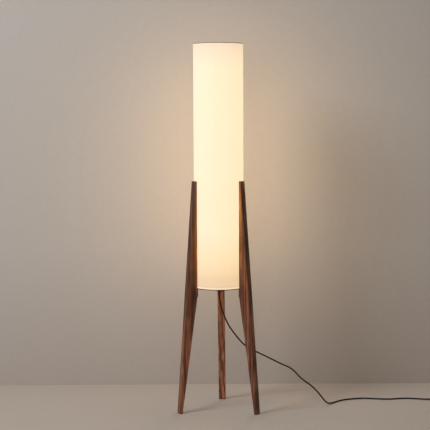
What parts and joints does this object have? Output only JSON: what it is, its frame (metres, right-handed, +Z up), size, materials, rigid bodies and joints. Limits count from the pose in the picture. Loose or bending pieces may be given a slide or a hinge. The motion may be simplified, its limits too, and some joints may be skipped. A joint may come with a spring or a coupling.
{
  "type": "floor lamp",
  "caption": "Column floor lamp: a tall lift-off cylinder shade on a steel ring held between tapered wooden legs, with a turning lamp tube, a foot switch and a coiled cord.",
  "frame": {"origin": "on the floor, on the column's axis (the centre of the cylinder shade)", "axes": "+Z up, +Y towards the rear leg, +X to the right seen from the front, the way the cord leaves"},
  "size_m": [1.2323, 0.3127, 1.4739],
  "materials": {
    "walnut": "satin oiled",
    "dark_rubber": "matte",
    "black_steel": "fine matte powder coat",
    "white_wire": "satin",
    "zinc_steel": "zinc plated",
    "brass": "plain",
    "nickel": "nickel plated",
    "aluminium": "mill finish",
    "black_plastic": "fine grain",
    "button_plastic": "smooth",
    "cord_jacket": "smooth",
    "white_plastic": "smooth",
    "wire_insulation": "smooth",
    "cream_fabric": "fine plain weave",
    "liner_plastic": "translucent",
    "frosted_glass": "frosted",
    "strip_board": "smooth",
    "tie_fabric": "woven band"
  },
  "bodies": {
    "stand": {"leg_rear": "walnut", "leg_left": "walnut", "leg_right": "walnut", "foot_glides": "dark_rubber", "base_frame": "black_steel", "spine_foot": "black_steel", "top_bracket": "black_steel", "leg_bolts": "zinc_steel", "lid_screws": "zinc_steel", "holder_screws": "zinc_steel", "spine_screws": "zinc_steel", "switch_screws": "zinc_steel", "locating_pin": "zinc_steel", "switch_spring": "zinc_steel", "leg_inserts": "brass", "holder_contacts": "brass", "plug_pins": "nickel", "spine": "aluminium", "cord_gland": "black_plastic", "gland_nut": "black_plastic", "switch_base": "black_plastic", "switch_cover": "black_plastic", "switch_reliefs": "black_plastic", "plug_body": "black_plastic", "plug_relief": "black_plastic", "cord_run": "cord_jacket", "cord_coil": "cord_jacket", "lead_in": "cord_jacket", "terminal_box": "white_plastic", "terminal_lid": "white_plastic", "terminal_block": "white_plastic", "lower_holder": "white_plastic", "upper_holder": "white_plastic", "switch_unit": "white_plastic", "lamp_wires": "wire_insulation", "coil_tie": "tie_fabric"},
    "shade": {"shade_fabric": "cream_fabric", "shade_liner": "liner_plastic", "shade_hems": "cream_fabric", "shade_top_ring": "white_wire", "shade_bottom_ring": "white_wire", "top_spider": "white_wire"},
    "tube": {"tube_glass": "frosted_glass", "led_strip": "strip_board", "tube_caps": "aluminium", "tube_pins": "nickel"},
    "lower_rotor_disc": {"lower_rotor": "white_plastic"},
    "upper_rotor_disc": {"upper_rotor": "white_plastic"},
    "button": {"switch_button": "button_plastic"}
  },
  "joints": [
    {"name": "shade_lift", "type": "slide", "parent": "stand", "child": "shade", "axis": [0, 0, 1], "range_m": [0, 1]},
    {"name": "tube_turn", "type": "hinge", "parent": "stand", "child": "tube", "pos_m": [0, 0, 1], "axis": [0, 0, 1], "range_deg": [0, 90]},
    {"name": "lower_rotor_turn", "type": "hinge", "parent": "stand", "child": "lower_rotor_disc", "pos_m": [0, 0, 0.5455], "axis": [0, 0, 1], "range_deg": [0, 90]},
    {"name": "upper_rotor_turn", "type": "hinge", "parent": "stand", "child": "upper_rotor_disc", "pos_m": [0, 0, 1.4491], "axis": [0, 0, 1], "range_deg": [0, 90]},
    {"name": "button_press", "type": "slide", "parent": "stand", "child": "button", "axis": [0, 0, -1], "range_m": [0, 0.003], "stiffness_N_per_m": 1500, "springref_m": -0.001, "deforming": ["switch_spring"]}
  ],
  "couplings": [
    {"joint": "lower_rotor_turn", "follows": "tube_turn", "ratio": 1},
    {"joint": "upper_rotor_turn", "follows": "tube_turn", "ratio": 1}
  ]
}
